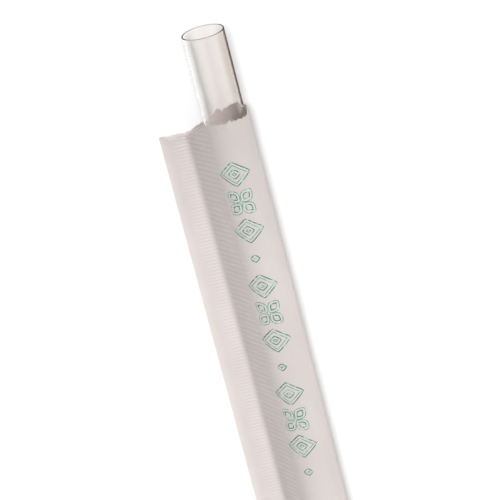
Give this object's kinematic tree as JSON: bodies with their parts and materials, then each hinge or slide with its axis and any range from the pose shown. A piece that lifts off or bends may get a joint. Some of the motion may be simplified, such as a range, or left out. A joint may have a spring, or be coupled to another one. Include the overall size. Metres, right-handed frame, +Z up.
{
  "type": "wrapped drinking straw",
  "caption": "Clear straight drinking straw lying in its white paper sleeve, which is crimped shut at the far end and torn open at the other, so that the straw's mouth sticks out.",
  "frame": {"origin": "middle of the underside of the whole object, on the surface it lies on", "axes": "+Y along the straw towards its open mouth, +X away from the sleeve's seam flange, +Z up from the flat underside"},
  "size_m": [0.0164, 0.2126, 0.0066],
  "materials": {
    "straw_clear": "thin clear extruded plastic, glossy",
    "sleeve_paper": "thin matt wrapping paper, crimped seam and end, sparse teal print"
  },
  "bodies": {
    "sleeve": {"paper_sleeve": "sleeve_paper"},
    "straw": {"straw": "straw_clear"}
  },
  "joints": [
    {"name": "straw_slide", "type": "slide", "parent": "sleeve", "child": "straw", "axis": [0, 1, 0], "range_m": [0, 0.186]}
  ]
}
